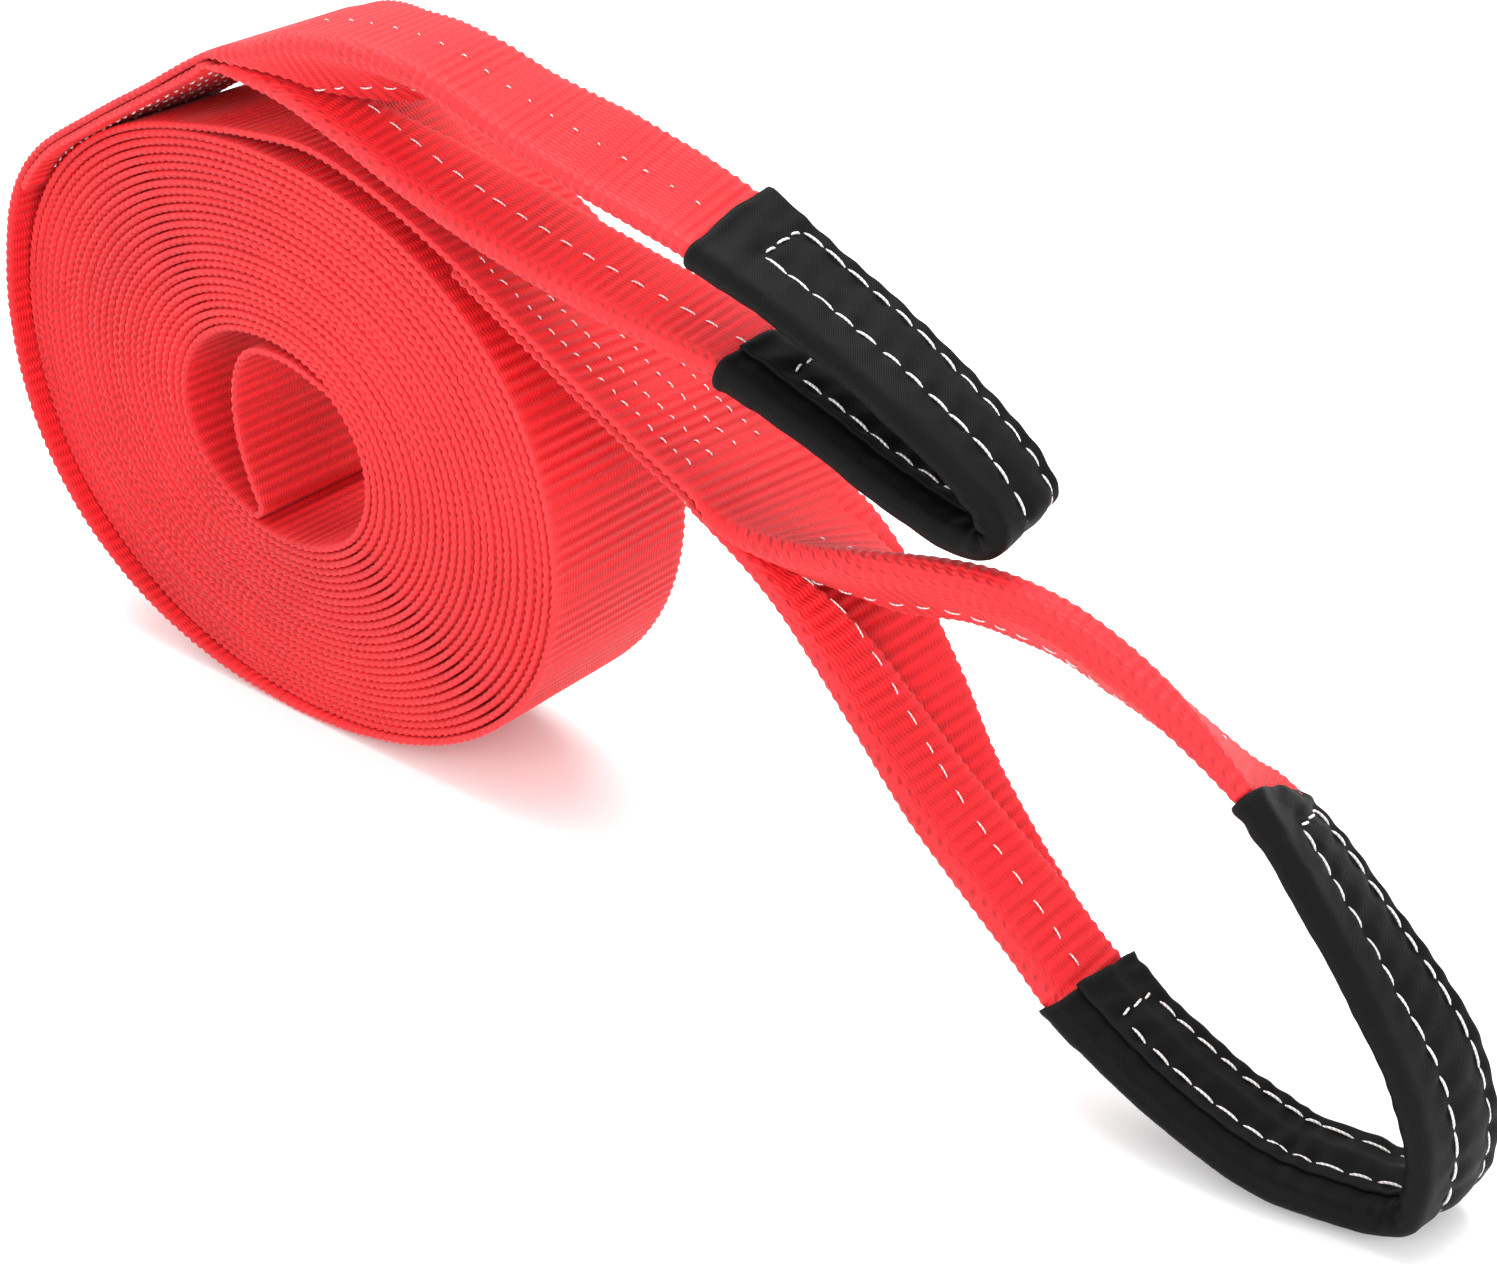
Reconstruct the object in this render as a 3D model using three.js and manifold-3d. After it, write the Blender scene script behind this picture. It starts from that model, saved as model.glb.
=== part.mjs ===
// Tow strap: one length of flat webbing wound doubled into an oval roll that stands on its edge.
// Both ends leave over the top, and each is folded back and sewn into an eye with a black sleeve.
// Millimetres, +Z up. X runs from the roll towards the eyes, Y along the roll's axis.
import * as THREE from 'three';
import { mergeVertices } from 'three/addons/utils/BufferGeometryUtils.js';
import Module from 'manifold-3d';

const wasm = await Module();
wasm.setup();

// Webbing
const webbingWidth = 50;
const webbingThickness = 2.2;

// Roll
const layerCount = 26;
const rollHalfWidth = 108.4;
const rollHalfHeight = 88;
const boreHalfHeight = 28.5;
const grooveDepth = 1.1;
const facetCount = 36;

// Middle fold of the strap, standing in the bore
const foldBulge = 15;
const foldInset = 1;

// Sleeves
const sleeveWall = 1.0;
const sleeveClearance = 0.8;

// Clearances between the pieces
const pieceGap = 0.4;
const layerSlit = 0.35;

// Derived sizes
const facetAngle = (2 * Math.PI) / facetCount;
const rollCentreHeight = rollHalfHeight * Math.cos(facetAngle / 2);
const rollStretch = rollHalfWidth / rollHalfHeight;
const halfThickness = webbingThickness / 2;
const bendRadius = (webbingThickness + layerSlit) / 2;
const bendLength = Math.PI * bendRadius;
const flapLength = (webbingWidth - bendLength) / 2;

const webbingRed = 0xdc2a30;
const sleeveBlack = 0x121214;

function clothMaterial(color, roughness) {
  return new THREE.MeshStandardMaterial({ color, roughness, metalness: 0 });
}

function bareGeometry(geometry) {
  const bare = geometry.clone();
  bare.deleteAttribute('normal');
  bare.deleteAttribute('uv');
  return mergeVertices(bare, 1e-4);
}

function toSolid(geometry) {
  const bare = bareGeometry(geometry);
  return new wasm.Manifold(new wasm.Mesh({
    numProp: 3,
    vertProperties: new Float32Array(bare.attributes.position.array),
    triVerts: new Uint32Array(bare.index.array),
  }));
}

function toGeometry(solid) {
  const mesh = solid.getMesh();
  const geometry = new THREE.BufferGeometry();
  geometry.setAttribute('position', new THREE.BufferAttribute(mesh.vertProperties, 3));
  geometry.setIndex(new THREE.BufferAttribute(mesh.triVerts, 1));
  return geometry;
}

function namedMesh(name, geometry, material) {
  const mesh = new THREE.Mesh(geometry, material);
  mesh.name = name;
  return mesh;
}

// A point on the roll's outside, `outward` millimetres off it. The angle runs from +X towards +Z.
function onRoll(degrees, outward, y) {
  const angle = THREE.MathUtils.degToRad(degrees);
  const x = rollHalfWidth * Math.cos(angle);
  const z = rollHalfHeight * Math.sin(angle);
  const normal = new THREE.Vector2(Math.cos(angle) / rollHalfWidth, Math.sin(angle) / rollHalfHeight);
  normal.normalize();
  return new THREE.Vector3(x + outward * normal.x, y, rollCentreHeight + z + outward * normal.y);
}

// The roll: one turned ring, drawn out sideways into an oval, with a groove between every two layers.
function buildRoll() {
  const pitch = (rollHalfHeight - boreHalfHeight) / layerCount;
  const near = [];
  const far = [];
  for (let layer = 0; layer < layerCount; layer += 1) {
    const start = boreHalfHeight + layer * pitch;
    near.push(new THREE.Vector2(start, grooveDepth));
    near.push(new THREE.Vector2(start + pitch / 2, 0));
    far.push(new THREE.Vector2(start, webbingWidth - grooveDepth));
    far.push(new THREE.Vector2(start + pitch / 2, webbingWidth));
  }
  near.push(new THREE.Vector2(rollHalfHeight, grooveDepth));
  far.push(new THREE.Vector2(rollHalfHeight, webbingWidth - grooveDepth));
  const profile = [...near, ...far.reverse(), near[0].clone()];
  const ring = new THREE.LatheGeometry(profile, facetCount, facetAngle / 2);
  ring.scale(rollStretch, 1, 1);
  ring.translate(0, 0, rollCentreHeight);
  return ring;
}

// The strap's middle: one layer that leaves the bore's top, bulges left and comes down again.
function buildMiddleFold() {
  const top = boreHalfHeight * 0.98;
  const route = new THREE.CatmullRomCurve3([
    new THREE.Vector3(boreHalfHeight * 0.35, 0, top),
    new THREE.Vector3(-foldBulge * 0.35, 0, top * 0.8),
    new THREE.Vector3(-foldBulge * 0.85, 0, top * 0.4),
    new THREE.Vector3(-foldBulge, 0, 0),
    new THREE.Vector3(-foldBulge * 0.85, 0, -top * 0.5),
    new THREE.Vector3(-foldBulge * 0.5, 0, -top * 1.0),
  ]);
  const steps = 14;
  const sheet = new THREE.BoxGeometry(1, webbingWidth - 2 * foldInset, webbingThickness, steps, 1, 1);
  const place = sheet.attributes.position;
  for (let i = 0; i < place.count; i += 1) {
    const along = THREE.MathUtils.clamp(place.getX(i) + 0.5, 0, 1);
    const centre = route.getPoint(along);
    const tangent = route.getTangent(along);
    const side = place.getZ(i);
    place.setXYZ(
      i,
      centre.x - tangent.z * side,
      webbingWidth / 2 + place.getY(i),
      rollCentreHeight + centre.z + tangent.x * side,
    );
  }
  return sheet;
}

// How the webbing lies across its width. `across` is the distance from the near selvedge, and
// `flap` is how much of the width is folded under. It returns the place from the fold's start:
// `side` along the webbing, `lift` out of the loop, and how far the webbing has turned over.
function layAcross(across, flap) {
  const foldStart = flap + bendLength;
  if (across >= foldStart) {
    return { side: across - foldStart, lift: 0, turn: 0 };
  }
  if (across >= flap) {
    const turn = (foldStart - across) / bendRadius;
    return { side: -bendRadius * Math.sin(turn), lift: -bendRadius * (1 - Math.cos(turn)), turn };
  }
  return { side: flap - across, lift: -2 * bendRadius, turn: Math.PI };
}

// A route holds stations along the near edge: place, lean in degrees, and the share folded under.
function makeRoute(stations) {
  const curve = new THREE.CatmullRomCurve3(stations.map((station) => station.at), false, 'centripetal');
  const count = stations.length - 1;
  const blend = (key, t) => {
    const place = t * count;
    const first = Math.min(Math.floor(place), count - 1);
    return THREE.MathUtils.lerp(stations[first][key], stations[first + 1][key], place - first);
  };
  return (t) => {
    const tangent = curve.getTangent(t);
    const across = new THREE.Vector3(0, 1, 0);
    across.addScaledVector(tangent, -across.dot(tangent)).normalize();
    const outward = new THREE.Vector3().crossVectors(tangent, across);
    const lean = THREE.MathUtils.degToRad(blend('lean', t));
    const width = across.clone().multiplyScalar(Math.cos(lean)).addScaledVector(outward, Math.sin(lean));
    const lift = new THREE.Vector3().crossVectors(tangent, width);
    return { at: curve.getPoint(t), width, lift, folded: blend('folded', t) };
  };
}

function flapAt(folded) {
  return THREE.MathUtils.lerp(-bendLength, flapLength, folded);
}

// A strap end: a long thin box bent along its route and folded across its width.
function buildStrap(stations, stepsPerStation) {
  const route = makeRoute(stations);
  const steps = (stations.length - 1) * stepsPerStation;
  const bendSteps = 4;
  const acrossSteps = bendSteps + 2;
  const strap = new THREE.BoxGeometry(1, 1, webbingThickness, steps, acrossSteps, 1);
  const place = strap.attributes.position;
  for (let i = 0; i < place.count; i += 1) {
    const frame = route(THREE.MathUtils.clamp(place.getX(i) + 0.5, 0, 1));
    const flap = flapAt(frame.folded);
    const line = Math.round((place.getY(i) + 0.5) * acrossSteps);
    const foldEdge = Math.max(flap, halfThickness);
    const bendShare = (line - 1) / bendSteps;
    let across = foldEdge + bendShare * bendLength;
    if (line === 0) across = 0;
    if (line === acrossSteps) across = webbingWidth;
    const lie = layAcross(across, flap);
    const side = lie.side - place.getZ(i) * Math.sin(lie.turn);
    const lift = lie.lift + place.getZ(i) * Math.cos(lie.turn);
    const point = frame.at.clone().addScaledVector(frame.width, side).addScaledVector(frame.lift, lift);
    place.setXYZ(i, point.x, point.y, point.z);
  }
  return strap;
}

// A sleeve: a flat tube around the folded webbing, on the strap's own route between two stations.
function buildSleeve(stations, first, last, stepsPerStation) {
  const route = makeRoute(stations);
  const count = stations.length - 1;
  const innerHalf = webbingThickness + layerSlit / 2 + sleeveClearance;
  const innerNear = -bendRadius - halfThickness - sleeveClearance;
  const innerFar = flapLength + sleeveClearance + pieceGap;
  const ringShape = (target, grow) => {
    const low = innerNear - grow;
    const high = innerFar + grow;
    const half = innerHalf + grow;
    const round = half * 0.5;
    const corner = sleeveClearance * 0.5;
    target.moveTo(low, -half + round);
    target.lineTo(low + round, -half);
    target.lineTo(high - corner, -half);
    target.lineTo(high, -half + corner);
    target.lineTo(high, half - corner);
    target.lineTo(high - corner, half);
    target.lineTo(low + round, half);
    target.lineTo(low, half - round);
    target.closePath();
    return target;
  };
  const ring = ringShape(new THREE.Shape(), sleeveWall);
  ring.holes.push(ringShape(new THREE.Path(), 0));
  const steps = (last - first) * stepsPerStation;
  const tube = new THREE.ExtrudeGeometry(ring, { depth: 1, steps, bevelEnabled: false });
  const place = tube.attributes.position;
  for (let i = 0; i < place.count; i += 1) {
    const along = THREE.MathUtils.lerp(first, last, place.getZ(i)) / count;
    const frame = route(THREE.MathUtils.clamp(along, 0, 1));
    const point = frame.at.clone().addScaledVector(frame.width, place.getX(i));
    point.addScaledVector(frame.lift, place.getY(i) - bendRadius);
    place.setXYZ(i, point.x, point.y, point.z);
  }
  return tube;
}

// Route points are given for this roll and drawn out with it.
const drawnHalfWidth = 108.4;
const drawnHeight = 175.4;

function station(x, y, z, lean, folded) {
  const at = new THREE.Vector3(
    (x * rollHalfWidth) / drawnHalfWidth,
    (y * webbingWidth) / 50,
    (z * 2 * rollCentreHeight) / drawnHeight,
  );
  return { at, lean, folded };
}

function flatOnRoll(degrees, outward, y) {
  return { at: onRoll(degrees, outward, y), lean: 0, folded: 0 };
}

// The other layer of a sewn stretch lies under the first and runs back the other way.
function sewnUnder(stations) {
  const route = makeRoute(stations);
  const count = stations.length - 1;
  return stations.map((entry, index) => {
    const frame = route(index / count);
    const at = frame.at.clone().addScaledVector(frame.lift, -(webbingThickness + layerSlit));
    return { at, lean: -entry.lean, folded: 0 };
  }).reverse();
}

const facetSag = rollHalfWidth * (1 - Math.cos(facetAngle / 2));
const snug = pieceGap + facetSag + halfThickness;
const overhang = -6;

// Upper end: the loose outer turn, the sewn stretch and the upper leg of the eye.
const upperTurn = [246, 230, 214, 198, 182, 166].map((degrees) => flatOnRoll(degrees, snug, overhang));
const upperSewn = [
  flatOnRoll(148, snug + webbingThickness + layerSlit, overhang),
  flatOnRoll(136, snug + webbingThickness + layerSlit + 0.3, overhang),
  station(-57, -6, 168.4, 0, 0),
  station(-28, -6, 183.6, 0, 0),
  station(-4, -5, 196.5, 0, 0),
];
const upperLegTop = [
  station(12, -3, 202.5, 0, 0.25),
  station(29, -1, 208, 0, 0.6),
  station(50, 0, 210, 3, 0.9),
  station(72, 0, 208.5, 8, 1),
  station(95, 0, 201, 14, 1),
  station(118, 0, 194.5, 23, 1),
  station(140, 0, 190, 21, 1),
];
const upperSleeved = [
  station(157, 0, 186.5, 12, 1),
  station(182, 0, 179, 4, 1),
  station(207, 0, 169, 0, 1),
  station(228.5, 0, 159.5, 0, 1),
  station(238.5, 0, 153.3, 0, 1),
  station(241.8, 0, 146.6, 0, 1),
  station(238.3, 0, 140.8, 0, 1),
  station(230.3, 0, 138.7, 0, 1),
  station(214.5, 0, 141.4, 0, 1),
  station(191, 0, 149.6, 0, 1),
  station(169, 0, 157, -2, 1),
];
const upperLegBack = [
  station(148, 0, 160, -8, 1),
  station(120, 0, 163.5, -12, 1),
  station(89, 0, 169.5, -13, 1),
  station(62, 0, 177, -10, 0.9),
  station(40, 0, 184.5, -5, 0.65),
  station(20, -2, 191.5, 0, 0.3),
];

// Lower end: it leaves the roll's top, and the lower eye reaches the floor.
const lowerTurn = [
  flatOnRoll(98, snug, 0),
  flatOnRoll(86, snug, 0),
  station(28, 0, 178.8, 0, 0),
  station(52, 0, 172.4, 0, 0),
];
const lowerSewn = [
  station(78, 0, 161.5, -2, 0),
  station(92, 0, 154.5, -4, 0),
  station(107, 0, 147, -5, 0),
  station(124, 0, 138.5, -6, 0),
  station(141, 0, 130.5, -6, 0),
  station(155, 0, 124.8, -6, 0),
];
const lowerLegTop = [
  station(168, 0, 121, -8, 0.2),
  station(184, 1, 121.5, -18, 0.6),
  station(204, 2, 126, -34, 0.95),
  station(224, 3.5, 130.8, -42, 1),
  station(240, 4.5, 132.8, -46, 1),
  station(256, 5, 131.6, -46, 1),
  station(270, 5, 127.5, -46, 1),
  station(285, 4.5, 120.3, -42, 1),
];
const lowerSleeved = [
  station(302, 5, 106.5, -26, 1),
  station(320, 5, 85.5, -20, 1),
  station(335, 5, 62, -14, 1),
  station(345.5, 5, 38, -9, 1),
  station(350.5, 5, 22, -5, 1),
  station(351.5, 5, 13, -3, 1),
  station(347, 5, 5.9, -1, 1),
  station(338.5, 5, 3.7, 0, 1),
  station(324, 4, 4.7, 0, 1),
  station(303, 2, 10.8, -1, 1),
  station(283, 0.5, 19.2, -2, 1),
  station(263, 0.4, 30, -4, 1),
];
const lowerLegBack = [
  station(253.5, 0.4, 38.2, -6, 0.96),
  station(241.5, 0.2, 48.4, -8, 0.92),
  station(223, 0, 64.3, -12, 0.82),
  station(208.5, 0.2, 79.6, -16, 0.72),
  station(194.5, 0.3, 94.4, -16, 0.62),
  station(182.3, 0.3, 105.8, -8, 0.45),
  station(169, 0, 115, 2, 0.22),
];

function strapEnd(turn, sewn, legTop, sleeved, legBack) {
  const stations = [...turn, ...sewn, ...legTop, ...sleeved, ...legBack, ...sewnUnder(sewn)];
  const first = turn.length + sewn.length + legTop.length;
  return { stations, first, last: first + sleeved.length - 1 };
}

const upperEnd = strapEnd(upperTurn, upperSewn, upperLegTop, upperSleeved, upperLegBack);
const lowerEnd = strapEnd(lowerTurn, lowerSewn, lowerLegTop, lowerSleeved, lowerLegBack);
const stepsPerStation = 2;

function endMesh(name, end) {
  const strap = buildStrap(end.stations, stepsPerStation);
  return namedMesh(name, strap, clothMaterial(webbingRed, 0.8));
}

function sleeveMesh(name, end) {
  const sleeve = buildSleeve(end.stations, end.first, end.last, stepsPerStation);
  return namedMesh(name, sleeve, clothMaterial(sleeveBlack, 0.6));
}

const rollSolid = toSolid(buildRoll()).add(toSolid(buildMiddleFold()));

// The origin is the middle of the flat that the roll stands on.
const towStrap = new THREE.Group();
towStrap.position.y = -webbingWidth / 2;
towStrap.add(namedMesh('webbing_roll', toGeometry(rollSolid), clothMaterial(webbingRed, 0.8)));
towStrap.add(endMesh('webbing_end_upper', upperEnd));
towStrap.add(endMesh('webbing_end_lower', lowerEnd));
towStrap.add(sleeveMesh('sleeve_upper', upperEnd));
towStrap.add(sleeveMesh('sleeve_lower', lowerEnd));

export default towStrap;
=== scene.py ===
import math
import bpy
import numpy as np
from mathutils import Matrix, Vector


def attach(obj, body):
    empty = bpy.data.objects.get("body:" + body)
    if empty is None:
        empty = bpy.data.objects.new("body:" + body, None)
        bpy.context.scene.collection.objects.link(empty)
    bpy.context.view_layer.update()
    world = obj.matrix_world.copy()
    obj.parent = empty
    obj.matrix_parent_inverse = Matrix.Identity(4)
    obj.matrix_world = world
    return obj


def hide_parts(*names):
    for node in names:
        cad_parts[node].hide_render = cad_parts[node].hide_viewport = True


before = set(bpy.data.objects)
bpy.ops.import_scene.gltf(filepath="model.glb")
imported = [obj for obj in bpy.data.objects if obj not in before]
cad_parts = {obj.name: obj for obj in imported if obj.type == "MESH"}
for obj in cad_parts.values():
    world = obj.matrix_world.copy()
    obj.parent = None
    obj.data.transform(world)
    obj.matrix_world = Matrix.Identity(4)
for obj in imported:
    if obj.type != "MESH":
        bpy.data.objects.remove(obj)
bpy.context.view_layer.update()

mm = 0.001

# All lengths below are in millimetres. Meshes are turned into metres when they are made.

camera = {
    "azimuth": 40.3,
    "elevation": 31.5,
    "focalPixels": 2412.0,
    "imageWidth": 1497.0,
    "place": (485.5, -393.7, 390.6),
}

webbing = {
    "width": 50.0,
    "thickness": 2.1,
    "slit": 0.35,          # between two layers that lie on each other
    "ribPitch": 3.0,
    "ribHeight": 0.34,
    "ribWander": 0.35,
    "knob": 0.26,
    "samplesPerRib": 4,
}

roll = {
    "centreHeight": 87.7,
    "boreHalfWidth": 37.1,     # to the middle of the first layer
    "boreHalfHeight": 29.6,
    "pitchAcross": 2.776,
    "pitchUp": 2.192,
    "shoulder": 0.022,         # how much fuller than an oval
    "looseFrom": 21.0,         # layers outside this one sit loosely at the lower right
    "looseness": 0.3,
    "uneven": 0.35,
}


def addCamera():
    data = bpy.data.cameras.new("camera")
    data.sensor_width = 36.0
    data.lens = camera["focalPixels"] / camera["imageWidth"] * data.sensor_width
    eye = bpy.data.objects.new("camera", data)
    bpy.context.collection.objects.link(eye)
    a, e = math.radians(camera["azimuth"]), math.radians(camera["elevation"])
    back = Vector((math.sin(a) * math.cos(e), -math.cos(a) * math.cos(e), math.sin(e)))
    eye.rotation_mode = "QUATERNION"
    eye.rotation_quaternion = (-back).to_track_quat("-Z", "Y")
    eye.location = Vector(camera["place"]) * mm
    data.clip_start, data.clip_end = 0.01, 50.0
    bpy.context.scene.camera = eye


# Helpers for nodes

def addNode(tree, kind, **values):
    node = tree.nodes.new(kind)
    for key, value in values.items():
        setattr(node, key, value)
    return node


def mathNode(tree, operation, first, second=None, third=None):
    node = addNode(tree, "ShaderNodeMath", operation=operation)
    for index, value in enumerate((first, second, third)):
        if value is None:
            continue
        if hasattr(value, "is_output"):
            tree.links.new(value, node.inputs[index])
        else:
            node.inputs[index].default_value = value
    return node.outputs[0]


def rampNode(tree, value, stops):
    node = addNode(tree, "ShaderNodeValToRGB")
    ramp = node.color_ramp
    while len(ramp.elements) < len(stops):
        ramp.elements.new(0.5)
    for element, (place, colour) in zip(ramp.elements, stops):
        element.position = place
        element.color = (*colour, 1.0)
    tree.links.new(value, node.inputs[0])
    return node.outputs[0]


def newGroup(name, inputs, outputs):
    tree = bpy.data.node_groups.new(name, "ShaderNodeTree")
    for label, kind, value in inputs:
        socket = tree.interface.new_socket(name=label, in_out="INPUT", socket_type=kind)
        if value is not None:
            socket.default_value = value
    for label, kind in outputs:
        tree.interface.new_socket(name=label, in_out="OUTPUT", socket_type=kind)
    return tree, addNode(tree, "NodeGroupInput"), addNode(tree, "NodeGroupOutput")


def makeYarnGroup():
    # Yarns that run along the cloth and ride over its cross ribs. Lay holds the place along and across, in metres.
    tree, given, result = newGroup(
        "yarnWeave",
        [("Lay", "NodeSocketVector", None), ("Rib Pitch", "NodeSocketFloat", 0.0034),
         ("Yarn Pitch", "NodeSocketFloat", 0.001), ("Slant", "NodeSocketFloat", 0.0)],
        [("Height", "NodeSocketFloat"), ("Gaps", "NodeSocketFloat"), ("Rib", "NodeSocketFloat")],
    )
    split = addNode(tree, "ShaderNodeSeparateXYZ")
    tree.links.new(given.outputs["Lay"], split.inputs[0])
    along, across = split.outputs[0], split.outputs[1]
    slanted = mathNode(tree, "MULTIPLY_ADD", across, given.outputs["Slant"], along)
    ribTurn = mathNode(tree, "MULTIPLY", mathNode(tree, "DIVIDE", slanted, given.outputs["Rib Pitch"]), math.tau)
    rib = mathNode(tree, "MULTIPLY_ADD", mathNode(tree, "COSINE", ribTurn), 0.5, 0.5)
    yarnTurn = mathNode(tree, "MULTIPLY", mathNode(tree, "DIVIDE", across, given.outputs["Yarn Pitch"]), math.tau)
    swing = mathNode(tree, "MULTIPLY", mathNode(tree, "SINE", ribTurn), 1.1)
    yarn = mathNode(tree, "MULTIPLY_ADD", mathNode(tree, "SINE", mathNode(tree, "ADD", yarnTurn, swing)), 0.5, 0.5)
    onRib = mathNode(tree, "MULTIPLY_ADD", rib, 0.5, 0.5)
    height = mathNode(tree, "ADD", mathNode(tree, "MULTIPLY", yarn, onRib), mathNode(tree, "MULTIPLY", rib, 1.1))
    gaps = mathNode(tree, "MULTIPLY", mathNode(tree, "SUBTRACT", 1.0, yarn), mathNode(tree, "SUBTRACT", 1.0, rib))
    tree.links.new(height, result.inputs["Height"])
    tree.links.new(gaps, result.inputs["Gaps"])
    tree.links.new(rib, result.inputs["Rib"])
    return tree


def makePebbleGroup():
    # Pairs of small pits, as the weave opens where the webbing is bent over a fold.
    tree, given, result = newGroup(
        "foldPebble",
        [("Lay", "NodeSocketVector", None), ("Pitch", "NodeSocketFloat", 0.0034)],
        [("Pits", "NodeSocketFloat")],
    )
    split = addNode(tree, "ShaderNodeSeparateXYZ")
    tree.links.new(given.outputs["Lay"], split.inputs[0])
    alongTurn = mathNode(tree, "MULTIPLY", mathNode(tree, "DIVIDE", split.outputs[0], given.outputs["Pitch"]), math.tau)
    acrossTurn = mathNode(tree, "MULTIPLY", mathNode(tree, "DIVIDE", split.outputs[1], 0.0021), math.tau)
    shifted = mathNode(tree, "ADD", alongTurn, mathNode(tree, "MULTIPLY", mathNode(tree, "SINE", acrossTurn), 1.3))
    lengthwise = mathNode(tree, "POWER", mathNode(tree, "MULTIPLY_ADD", mathNode(tree, "COSINE", shifted), 0.5, 0.5), 2.2)
    crosswise = mathNode(tree, "POWER", mathNode(tree, "MULTIPLY_ADD", mathNode(tree, "COSINE", acrossTurn), 0.5, 0.5), 1.6)
    tree.links.new(mathNode(tree, "MULTIPLY", lengthwise, crosswise), result.inputs["Pits"])
    return tree


def makeFadeGroup():
    # Slow changes of shade along a cloth, from dyeing and handling, and fine fibre speckle.
    tree, given, result = newGroup(
        "dyeShade",
        [("Place", "NodeSocketVector", None), ("Patch Size", "NodeSocketFloat", 18.0),
         ("Speckle Size", "NodeSocketFloat", 900.0)],
        [("Patch", "NodeSocketFloat"), ("Speckle", "NodeSocketFloat")],
    )
    for label, size, detail in (("Patch", "Patch Size", 3.0), ("Speckle", "Speckle Size", 1.0)):
        noise = addNode(tree, "ShaderNodeTexNoise")
        noise.inputs["Detail"].default_value = detail
        tree.links.new(given.outputs["Place"], noise.inputs["Vector"])
        tree.links.new(given.outputs[size], noise.inputs["Scale"])
        tree.links.new(noise.outputs["Fac"], result.inputs[label])
    return tree


def groupNode(tree, group, **values):
    node = addNode(tree, "ShaderNodeGroup", node_tree=group)
    for key, value in values.items():
        if hasattr(value, "is_output"):
            tree.links.new(value, node.inputs[key])
        else:
            node.inputs[key].default_value = value
    return node


def mixColour(tree, blend, amount, first, second):
    node = addNode(tree, "ShaderNodeMix", data_type="RGBA", blend_type=blend)
    for socket, value in zip((node.inputs[0], node.inputs[6], node.inputs[7]), (amount, first, second)):
        if hasattr(value, "is_output"):
            tree.links.new(value, socket)
        else:
            socket.default_value = value
    return node.outputs[2]


def startMaterial(name):
    material = bpy.data.materials.new(name)
    material.use_nodes = True
    tree = material.node_tree
    shader = tree.nodes["Principled BSDF"]
    layMap = addNode(tree, "ShaderNodeUVMap", uv_map="lay")
    place = addNode(tree, "ShaderNodeTexCoord")
    return material, tree, shader, layMap.outputs[0], place.outputs["Object"]


redCloth = {
    "ribTop": (0.84, 0.009, 0.016),
    # painted shade: the rib valleys are coloured darker, as grazing light leaves them in shade
    "ribValleyShade": (0.52, 0.002, 0.005),
    # painted highlight: paler pink for the selvedges and the fold ridge, where the light catches them
    "edgeHighlight": (0.92, 0.07, 0.08),
    # painted shade: near-black red for the gaps of the weave and the pits along the fold, where shade falls
    "recessShade": (0.22, 0.001, 0.003),
    "roughness": 0.58,
    "sheen": 0.14,
    "sheenTint": (1.0, 0.5, 0.52),
    "bump": 0.55,
}


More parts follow.
